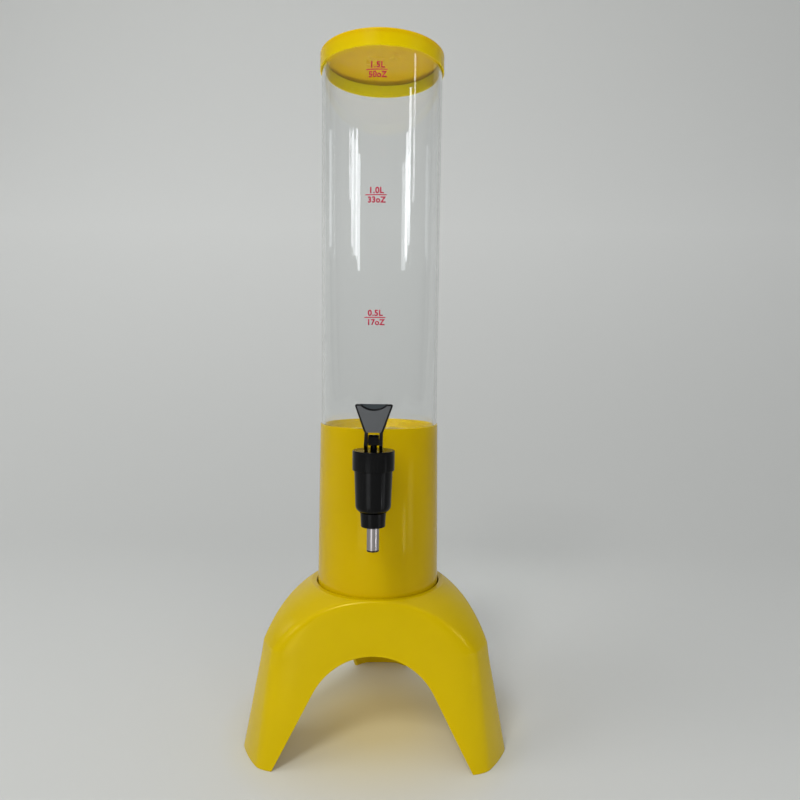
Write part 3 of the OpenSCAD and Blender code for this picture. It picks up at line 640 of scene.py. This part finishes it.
def make_stem():
    """The stem, with its button in the seat cup and its flat head round the pin."""
    stem = lathe("stem", [
        (0, BUTTON_Z), (BUTTON_R, BUTTON_Z, 0.2), (BUTTON_R, BUTTON_Z + BUTTON_T, 0.2),
        (STEM_R, BUTTON_Z + BUTTON_T), (STEM_R, PIN_Z), (0, PIN_Z)],
        place=at_tap, segments=64)
    half = HEAD_D / 2
    rise = math.sqrt(HEAD_R ** 2 - half ** 2)
    low = HEAD_Z0 - PIN_Z
    start = math.atan2(rise, half)
    turns = [start + (math.pi - 2 * start) * k / 16 for k in range(17)]
    arc = [(HEAD_R * math.cos(a), HEAD_R * math.sin(a)) for a in turns]
    foot = math.sqrt(HEAD_R ** 2 - low ** 2)
    outline = [(-min(foot, half), low), (min(foot, half), low)] + arc
    head = bevelled(prism("head", outline, HEAD_W, sideways), 0.3, 3)
    combine(stem, "UNION", head)
    combine(stem, "DIFFERENCE", pin_hole(PIN_R))
    return finished(stem, "stem", "tap_plastic", "tap_stem")


def make_pin():
    half = FORK_W / 2
    return lathe("pivot_pin", [(0, -half), (PIN_R, -half, 0.3), (PIN_R, half, 0.3), (0, half)],
                 "stem", "screw_steel", "handle_pin", place=sideways, segments=48)


def cam_point(a):
    """The point of the cam that is lowest when the handle is turned by a, in degrees."""
    r = CAM_LOW + CAM_SLOPE * math.radians(a)
    s, c = math.sin(math.radians(a)), math.cos(math.radians(a))
    return -r * s - CAM_SLOPE * c, -r * c + CAM_SLOPE * s


def drawn_in(outline, by):
    """A convex outline, anticlockwise, with its sides moved inwards."""
    n, sides = len(outline), []
    for i in range(n):
        p, q = Vector(outline[i]), Vector(outline[(i + 1) % n])
        along = (q - p).normalized()
        sides.append((p + Vector((-along.y, along.x)) * by, along))
    out = []
    for i in range(n):
        (p, d), (q, e) = sides[i - 1], sides[i]
        cross = d.x * e.y - d.y * e.x
        out.append(tuple(q if abs(cross) < 1e-6 else p + d * ((q.x - p.x) * e.y - (q.y - p.y) * e.x)
                         / cross))
    return out


def make_paddle():
    """The fan-shaped paddle with its bevelled front, drawn in (x, depth, height) from its foot."""
    low, front_y = -2 * BEVEL_W, -PADDLE_FOOT_T / 2
    lip = (PADDLE_FOOT_W - FORK_W) / 2 / PADDLE_CORNER
    half_low, half_foot = FORK_W / 2 + lip * low, PADDLE_FOOT_W / 2
    corner_x, corner_z = PADDLE_TOP_W / 2 - PADDLE_CORNER, PADDLE_H - PADDLE_CORNER
    turns = [math.radians(15 * k) for k in range(7)]
    right = [(half_low, low), (half_foot, PADDLE_CORNER)]
    right += [(corner_x + PADDLE_CORNER * math.cos(a), corner_z + PADDLE_CORNER * math.sin(a))
              for a in turns]
    fan = right + [(-x, z) for x, z in right[::-1]]
    bm = bmesh.new()
    for x, z in drawn_in(fan, BEVEL_W):
        bm.verts.new((x, front_y, z))
    for y in (front_y + BEVEL_T, PADDLE_FOOT_T):
        for x, z in fan:
            bm.verts.new((x, y, z))
    bmesh.ops.convex_hull(bm, input=bm.verts)
    lean = Vector((0, PADDLE_H, PADDLE_FOOT_T - PADDLE_TOP_T)).normalized()
    for spot, way in (((0, 0, 0), (0, 0, -1)), ((0, PADDLE_FOOT_T / 2, 0), lean)):
        cut = bmesh.ops.bisect_plane(bm, geom=bm.verts[:] + bm.edges[:] + bm.faces[:], dist=1e-5,
                                     plane_co=spot, plane_no=way, clear_outer=True)
        bmesh.ops.contextual_create(bm, geom=[e for e in cut["geom_cut"]
                                              if isinstance(e, bmesh.types.BMEdge)])
    bmesh.ops.dissolve_limit(bm, angle_limit=0.01, verts=bm.verts, edges=bm.edges)
    points = [(v.co.x, v.co.y + TAP_Y, v.co.z + CROTCH_Z) for v in bm.verts]
    bm.verts.index_update()
    faces = [[v.index for v in f.verts] for f in bm.faces]
    bm.free()
    return new_piece("lever", points, faces)


def make_handle():
    """The fork with its two cams, and the paddle with its thumb scoop."""
    crotch = CROTCH_Z - PIN_Z
    half = PADDLE_FOOT_T / 2
    toe = cam_point(HANDLE_TURN)
    outline = [(half, crotch + BEVEL_W), (half, -CAM_LOW)]
    outline += [cam_point(HANDLE_TURN * k / 20) for k in range(21)]
    outline += [(toe[0] / 2, TOE_UP), (-half, crotch), (-half + BEVEL_T, crotch + BEVEL_W)]
    arms = []
    width = FORK_W / 2 - ARM_IN
    for side in (-1, 1):
        x = side * (ARM_IN + width / 2)
        arm = prism("arm", outline, width, lambda p: sideways((p[0], p[1], p[2] + x)))
        arms.append(bevelled(arm, 0.25, 3, 40))
    paddle = make_paddle()
    scoop_r = (SCOOP_W ** 2 / 4 + SCOOP_DROP ** 2) / (2 * SCOOP_DROP)
    floor_y = -half + SCOOP_IN
    scoop_z = CROTCH_Z + PADDLE_H - SCOOP_DROP + scoop_r
    cutter = lathe("scoop", [(0, 0), (scoop_r - 0.8, 0, 0.6), (scoop_r + 0.6, 6), (0, 6)],
                   place=lambda p: (p[0], floor_y - p[2] + TAP_Y, p[1] + scoop_z), segments=160)
    combine(paddle, "DIFFERENCE", cutter)
    bevelled(paddle, 0.2, 2, 25)
    combine(paddle, "UNION", *arms)
    combine(paddle, "DIFFERENCE", pin_hole(PIN_R + 0.05))
    return finished(paddle, "handle", "handle_plastic", "tap_handle")


# ---- Marks on the tube ----
MARK_TURN = math.radians(-2.5)      # from the tap's side of the tube
MARK_PROUD = 0.1
MARK_LINE_W, MARK_LINE_H, MARK_LINE_STEPS = 15.2, 0.7, 14
MARKS = (("0.5L", "17oZ", 321.3), ("1.0L", "33oZ", 407.5), ("1.5L", "50oZ", 493.7))


def tube_r(z):
    return TUBE_FOOT_R + (TUBE_TOP_R - TUBE_FOOT_R) * (z - TUBE_Z0) / (TUBE_Z1 - TUBE_Z0)


def text_mesh(words, height, squeeze, x, z):
    """Flat letters as a bmesh in (x, z), centred on x, with their foot at z."""
    curve = bpy.data.curves.new("words", "FONT")
    curve.body = words
    curve.align_x = "CENTER"
    curve.size = height / 0.72      # the font's capitals are about 0.72 of its size
    curve.offset = 0.2
    curve.space_character = 1.08
    ob = added("words", curve)
    graph = bpy.context.evaluated_depsgraph_get()
    mesh = bpy.data.meshes.new_from_object(ob.evaluated_get(graph))
    bpy.data.objects.remove(ob)
    bm = bmesh.new()
    bm.from_mesh(mesh)
    for v in bm.verts:
        v.co = Vector((v.co.x * squeeze + x, 0, v.co.y + z))
    return bm


def line_mesh(z):
    """The flat line between litres and ounces, in steps that can be wrapped round the tube."""
    bm = bmesh.new()
    across = [MARK_LINE_W * (k / MARK_LINE_STEPS - 0.5) for k in range(MARK_LINE_STEPS + 1)]
    low, high = ([bm.verts.new((x, 0, z + up)) for x in across]
                 for up in (-MARK_LINE_H / 2, MARK_LINE_H / 2))
    for k in range(MARK_LINE_STEPS):
        bm.faces.new([low[k], low[k + 1], high[k + 1], high[k]])
    return bm


def make_marks():
    """The printed marks, as thin letters and lines wrapped round the tube."""
    bm = bmesh.new()
    for litres, ounces, z in MARKS:
        for part in (text_mesh(litres, 4.2, 1.0, 0.2, z + 1.25),
                     text_mesh(ounces, 4.1, 0.96, 0.5, z - 5.3), line_mesh(z)):
            bmesh.ops.triangulate(part, faces=part.faces)
            data = bpy.data.meshes.new("part")
            part.to_mesh(data)
            part.free()
            bm.from_mesh(data)
            bpy.data.meshes.remove(data)
    bmesh.ops.remove_doubles(bm, verts=bm.verts, dist=0.002)
    extruded = bmesh.ops.extrude_face_region(bm, geom=list(bm.faces))
    for v in (g for g in extruded["geom"] if isinstance(g, bmesh.types.BMVert)):
        v.co.y = -MARK_PROUD
    for v in bm.verts:
        r, a = tube_r(v.co.z) - v.co.y, MARK_TURN + v.co.x / tube_r(v.co.z)
        v.co = Vector((r * math.sin(a), -r * math.cos(a), v.co.z)) * MM
    bmesh.ops.recalc_face_normals(bm, faces=bm.faces)
    mesh = bpy.data.meshes.new("volume_marks")
    bm.to_mesh(mesh)
    bm.free()
    piece = added("volume_marks", mesh)
    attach(piece, "dispenser")
    return piece


# ---- Materials ----
def srgb(r, g, b):
    """A colour as seen on screen, 0 to 255, as linear light."""
    return tuple((c / 255 / 12.92 if c <= 10 else ((c / 255 + 0.055) / 1.055) ** 2.4)
                 for c in (r, g, b)) + (1.0,)


class Shader:
    """A Principled material whose colour, roughness and bump come from object-space noise."""

    def __init__(self, name):
        self.material = bpy.data.materials.new(name)
        self.material.use_nodes = True
        self.nodes, self.links = self.material.node_tree.nodes, self.material.node_tree.links
        self.bsdf = self.nodes["Principled BSDF"]
        self.out = self.nodes["Material Output"]
        self.coords = self.nodes.new("ShaderNodeTexCoord").outputs["Object"]

    def noise(self, scale, detail=2.0, stretch=None):
        """Noise with scale features to a metre."""
        node = self.nodes.new("ShaderNodeTexNoise")
        node.inputs["Scale"].default_value = scale
        node.inputs["Detail"].default_value = detail
        source = self.coords
        if stretch:
            mapping = self.nodes.new("ShaderNodeMapping")
            mapping.inputs["Scale"].default_value = stretch
            self.links.new(source, mapping.inputs["Vector"])
            source = mapping.outputs["Vector"]
        self.links.new(source, node.inputs["Vector"])
        return node.outputs["Fac"]

    def ramp(self, value, low, high, a=0.3, b=0.7):
        """A colour or grey between low and high as value goes from a to b."""
        if isinstance(low, float):
            node = self.nodes.new("ShaderNodeMapRange")
            for key, x in zip(("From Min", "From Max", "To Min", "To Max"), (a, b, low, high)):
                node.inputs[key].default_value = x
            self.links.new(value, node.inputs["Value"])
            return node.outputs["Result"]
        node = self.nodes.new("ShaderNodeValToRGB")
        ends = node.color_ramp.elements
        ends[0].position, ends[0].color = a, low
        ends[1].position, ends[1].color = b, high
        self.links.new(value, node.inputs["Fac"])
        return node.outputs["Color"]

    def link(self, output, socket):
        self.links.new(output, self.bsdf.inputs[socket])

    def set(self, **values):
        """Sets sockets of the Principled shader, named with _ for each space."""
        for key, x in values.items():
            self.bsdf.inputs[key.replace("_", " ")].default_value = x
        return self

    def glow(self, share, reach):
        """Light that passes some millimetres through yellow plastic, and its yellowish gloss."""
        return self.set(Subsurface_Weight=share, Subsurface_Radius=(1.0, 1.0, 0.15),
                        Subsurface_Scale=reach * MM, Specular_Tint=(1.0, 0.9, 0.3, 1.0))

    def bump(self, value, height):
        """Raises the surface by height millimetres where value is 1."""
        node = self.nodes.new("ShaderNodeBump")
        node.inputs["Strength"].default_value = 1.0
        node.inputs["Distance"].default_value = height * MM
        self.links.new(value, node.inputs["Height"])
        if self.bsdf.inputs["Normal"].links:
            self.links.new(self.bsdf.inputs["Normal"].links[0].from_socket, node.inputs["Normal"])
        self.links.new(node.outputs["Normal"], self.bsdf.inputs["Normal"])

    def on(self, *pieces):
        for piece in pieces:
            piece.data.materials.clear()
            piece.data.materials.append(self.material)
        return self


def moulded(name, low, high, rough, peel=0.004, gloss=0.5):
    """Moulded plastic: slight mottling, uneven gloss and a faint orange peel."""
    s = Shader(name)
    s.set(Specular_IOR_Level=gloss)
    s.link(s.ramp(s.noise(16, 3), low, high), "Base Color")
    s.link(s.ramp(s.noise(70, 4), rough - 0.03, rough + 0.04), "Roughness")
    s.bump(s.noise(420, 2), peel)
    return s


def clear_plastic(name, tint, rough, ior):
    """Clear plastic that refracts, and lets light through to what lies behind it."""
    s = Shader(name)
    s.set(Base_Color=tint, IOR=ior, Transmission_Weight=1.0)
    s.link(s.ramp(s.noise(60, 3), rough, rough + 0.015), "Roughness")
    s.bump(s.noise(25, 2, (1, 1, 0.25)), 0.02)
    path = s.nodes.new("ShaderNodeLightPath")
    through = s.nodes.new("ShaderNodeBsdfTransparent")
    through.inputs["Color"].default_value = tint
    mix = s.nodes.new("ShaderNodeMixShader")
    s.links.new(path.outputs["Is Shadow Ray"], mix.inputs["Fac"])
    s.links.new(s.bsdf.outputs["BSDF"], mix.inputs[1])
    s.links.new(through.outputs["BSDF"], mix.inputs[2])
    s.links.new(mix.outputs["Shader"], s.out.inputs["Surface"])
    return s


def metal(name, colour, rough, stretch):
    """Drawn metal, whose fine marks are stretched along an axis."""
    s = Shader(name)
    s.set(Metallic=1.0)
    darker = srgb(*[c * 0.93 for c in colour])
    s.link(s.ramp(s.noise(900, 3, stretch), darker, srgb(*colour)), "Base Color")
    s.link(s.ramp(s.noise(700, 3, stretch), rough, rough + 0.1), "Roughness")
    s.bump(s.noise(1600, 2, stretch), 0.004)
    return s


def add_painted_sheen_and_shade(piece, painted_sheen, painted_scoop_shade):
    """The paddle's front, matt and painted grey as a painted sheen, and its thumb scoop, painted a
    darker grey as painted shade in the hollow.
    """
    piece.data.materials.append(painted_sheen)
    piece.data.materials.append(painted_scoop_shade)
    front = (TAP_Y - PADDLE_FOOT_T / 2) * MM
    for polygon in piece.data.polygons:
        middle, facing = polygon.center, -polygon.normal.y
        if middle.z < (CROTCH_Z - 0.2) * MM or facing < 0.97:
            continue
        if middle.y < front + 0.05 * MM:
            polygon.material_index = 1
        elif middle.y < front + (SCOOP_IN + 0.1) * MM and middle.z > (CROTCH_Z + PADDLE_H / 2) * MM:
            polygon.material_index = 2


# ---- Build ----
stand, ribs = make_stand(), make_ribs()
barrel, tube, lid = make_barrel(), make_tube(), make_lid()
tap, bonnet, spout = make_tap_body(), make_bonnet(), make_spout()
seal, *washers = make_rings()
nut, screws, cup = make_nut(), make_screws(), make_cup()
stem, pin, handle = make_stem(), make_pin(), make_handle()
marks = make_marks()

YELLOW = {    # name: lower and upper colour, roughness, gloss, glow and its reach, pieces
    "yellow_stand": ((192, 165, 0), (198, 170, 0), 0.2, 0.3, 0.3, 4, (stand, ribs)),
    "yellow_barrel": ((189, 158, 0), (194, 162, 0), 0.12, 0.2, 0.3, 5, (barrel,)),
    "yellow_lid": ((195, 158, 0), (199, 162, 1), 0.24, 0.2, 0.7, 10, (lid,))}
for name, (low, high, rough, gloss, share, reach, pieces) in YELLOW.items():
    moulded(name, srgb(*low), srgb(*high), rough, gloss=gloss).glow(share, reach).on(*pieces)
clear_plastic("acrylic", (0.985, 0.992, 0.99, 1.0), 0.0, 1.45).on(tube)
moulded("black_gloss", srgb(4, 4, 5), srgb(6, 6, 7), 0.2, 0.003, 0.13).on(tap, bonnet, stem, nut)
moulded("handle_black", srgb(6, 6, 7), srgb(9, 9, 10), 0.34, 0.003, 0.16).on(handle)
# the black paddle's front is painted grey, a painted sheen, and its thumb scoop a darker grey, a
# painted shade
painted_sheen = moulded("handle_face_painted_sheen", srgb(72, 74, 76), srgb(80, 82, 84), 0.5, 0.02)
painted_scoop_shade = moulded("handle_scoop_painted_shade", srgb(38, 46, 50), srgb(46, 54, 58), 0.45, 0.01)
add_painted_sheen_and_shade(handle, painted_sheen.material, painted_scoop_shade.material)
metal("spout_metal", (160, 154, 154), 0.08, (1, 1, 0.05)).on(spout)
# the spout's lowest 1.1 mm is painted dark brown: painted shade for the dark its rolled end catches
# from the floor
spout.data.materials.append(metal("spout_end_painted_shade", (62, 52, 48), 0.3, (1, 1, 0.05)).material)
for polygon in spout.data.polygons:
    polygon.material_index = int(polygon.center.z < SPOUT_PAINTED_SHADE_Z * MM)
metal("screw_metal", (178, 178, 176), 0.28, (1, 1, 1)).on(screws, pin)
moulded("rubber", srgb(22, 22, 23), srgb(27, 27, 28), 0.7, 0.03).on(*washers)
moulded("silicone", srgb(205, 205, 200), srgb(214, 214, 209), 0.5, 0.02).on(cup)
moulded("seal_silicone", srgb(216, 194, 92), srgb(222, 200, 100), 0.4, 0.01,
        gloss=0.3).set(Transmission_Weight=0.7).on(seal)
moulded("mark_red", srgb(170, 14, 56), srgb(182, 20, 62), 0.5, 0.01, gloss=0.2).on(marks)


# ---- Camera, as fitted to the photograph ----
CAMERA_AT, ROUND_AXIS = (14.32, -521.17, 290.08), math.radians(0.75)
PITCH, ROLL, YAW = 0.0581, 0.0109, 0.0036
FOCAL, PICTURE, SENSOR = 662.63, 800, 36      # the first two in pixels


def make_camera():
    right = Vector((math.cos(YAW), -math.sin(YAW), 0))
    ahead = Vector((math.sin(YAW), math.cos(YAW), 0))
    fwd = ahead * math.cos(PITCH) - Vector((0, 0, math.sin(PITCH)))
    up = ahead * math.sin(PITCH) + Vector((0, 0, math.cos(PITCH)))
    r = right * math.cos(ROLL) + up * math.sin(ROLL)
    u = up * math.cos(ROLL) - right * math.sin(ROLL)
    data = bpy.data.cameras.new("camera")
    data.sensor_width = SENSOR
    data.lens = FOCAL / PICTURE * SENSOR
    data.clip_start, data.clip_end = 0.05, 50
    cam = added("camera", data)
    place = Matrix.Translation(Vector(CAMERA_AT) * MM)
    turn = Matrix((r, u, -fwd)).transposed().to_4x4()
    cam.matrix_world = Matrix.Rotation(ROUND_AXIS, 4, "Z") @ place @ turn
    bpy.context.scene.camera = cam


# ---- Stage and lights ----
def make_stage():
    """A pale sheet that curves up from the floor into the backdrop."""
    depth, radius, height, half = 2.0, 1.5, 3.4, 4.0
    line = [(-2.8, 0.0), (depth - radius, 0.0)]
    line += [(depth - radius + radius * math.sin(a), radius - radius * math.cos(a))
             for a in (math.radians(90 * k / 40) for k in range(1, 41))]
    line.append((depth, height))
    points = [(x, y, z) for y, z in line for x in (-half, half)]
    faces = [[2 * k, 2 * k + 1, 2 * k + 3, 2 * k + 2] for k in range(len(line) - 1)]
    mesh = bpy.data.meshes.new("studio_sheet")
    mesh.from_pydata(points, [], faces)
    smooth(mesh)
    sheet = added("studio_sheet", mesh)
    s = Shader("studio_paper")
    split = s.nodes.new("ShaderNodeSeparateXYZ")
    s.links.new(s.coords, split.inputs["Vector"])
    # the paper is painted darker on the floor and paler up the wall, a painted shade that evens out
    # how the lamps light the two, and warmer round the yellow stand, a painted yellow bounce light
    # from the stand
    rise = s.ramp(split.outputs["Z"], 0.0, 1.0, 0.0, 1.0)
    paper_painted_shade = s.ramp(rise, srgb(203, 204, 201), srgb(233, 234, 231), 0.0, 0.75)
    spread = s.nodes.new("ShaderNodeVectorMath")
    spread.operation = "LENGTH"
    s.links.new(s.coords, spread.inputs[0])
    bounce_share = s.ramp(spread.outputs["Value"], 0.55, 0.0, 0.03, 0.125)
    # painted bounce: the floor round the stand is tinted yellow as if lit by light thrown off the
    # yellow plastic
    painted_bounce = s.nodes.new("ShaderNodeMix")
    painted_bounce.data_type, painted_bounce.blend_type = "RGBA", "MULTIPLY"
    painted_bounce.inputs["B"].default_value = (1.0, 0.82, 0.25, 1.0)
    s.links.new(bounce_share, painted_bounce.inputs["Factor"])
    s.links.new(paper_painted_shade, painted_bounce.inputs["A"])
    s.link(painted_bounce.outputs["Result"], "Base Color")
    s.link(s.ramp(s.noise(3, 2), 0.75, 0.85), "Roughness")
    s.set(Specular_IOR_Level=0.2)
    s.bump(s.noise(300, 3), 0.05)
    s.on(sheet)


def lamp(name, azimuth, z, distance, size, power, aim=(0, 0, 0.26), colour=(1, 1, 1)):
    """A rectangular area light at an azimuth from the camera's side, positive to the right."""
    data = bpy.data.lights.new(name, "AREA")
    data.shape = "RECTANGLE"
    data.size, data.size_y = size
    data.energy, data.color = power, colour
    ob = added(name, data)
    a = math.radians(azimuth)
    ob.location = (distance * math.sin(a), -distance * math.cos(a), z)
    ob.rotation_euler = (Vector(aim) - ob.location).to_track_quat("-Z", "Y").to_euler()
    ob.visible_camera = False
    return ob


def window(name, azimuth, low, high, width, radiance, distance=2.0):
    """An upright strip of window, seen only in glossy surfaces."""
    power = radiance * width * (high - low) * math.pi
    ob = lamp(name, azimuth, (low + high) / 2, distance, (width, high - low), power,
              aim=(0, 0, (low + high) / 2), colour=(0.94, 0.97, 1))
    ob.visible_diffuse = False


def make_lights():
    """A dim room, a key and two fills, the light that passes the plastic, and the windows."""
    world = bpy.data.worlds.new("studio_air")
    world.use_nodes = True
    nodes, links = world.node_tree.nodes, world.node_tree.links
    back = nodes["Background"]
    back.inputs["Color"].default_value = (0.95, 0.97, 1.0, 1)
    split = nodes.new("ShaderNodeSeparateXYZ")       # the room is dim below and lighter above
    links.new(nodes.new("ShaderNodeTexCoord").outputs["Generated"], split.inputs["Vector"])
    up = nodes.new("ShaderNodeMapRange")
    up.interpolation_type = "SMOOTHSTEP"
    for key, x in zip(("From Min", "From Max", "To Min", "To Max"), (0.35, 0.9, 0.16, 0.6)):
        up.inputs[key].default_value = x
    links.new(split.outputs["Z"], up.inputs["Value"])
    links.new(up.outputs["Result"], back.inputs["Strength"])
    bpy.context.scene.world = world
    lamp("key", -22, 2.0, 1.8, (0.6, 0.6), 25)
    soft = [lamp("fill_left", -70, 1.2, 2.2, (1.6, 1.6), 18),
            lamp("fill_front", 14, 0.8, 2.4, (2.0, 1.2), 20),
            # the light that yellow plastic lets through, down onto the floor and into the lid
            lamp("through_stand", 0, 0.075, 0.0, (0.09, 0.09), 0.024, (0, 0, 0), (1, 0.76, 0.36)),
            lamp("through_lid", 180, 0.05, 0.5, (0.1, 0.1), 0.1, (0, 0, 0.51))]
    for ob in soft:
        ob.visible_glossy = ob.visible_transmission = False
    soft[-1].data.spread = math.radians(30)
    for name, *place in (
            ("window_a", -59.5, 0.857, 1.11, 0.05, 12), ("window_b", -54.5, 0.69, 1.10, 0.06, 12),
            ("window_c", -48, 0.66, 1.07, 0.34, 3.5), ("window_d", 66, 0.857, 1.39, 0.05, 12),
            ("window_e", 57, 0.70, 1.26, 0.09, 12), ("window_f", 51.5, 0.655, 1.10, 0.18, 7),
            ("window_g", -112, 0.70, 1.12, 0.20, 1.5), ("door_a", 50, 0.015, 0.075, 0.02, 12, 0.55),
            ("door_b", 63, 0.015, 0.14, 0.10, 1.6, 0.55),
            ("door_c", -24, 0.015, 0.14, 0.20, 1.9, 0.55)):
        window(name, *place)


make_camera()
make_stage()
make_lights()
bpy.context.scene.view_settings.view_transform = "Standard"
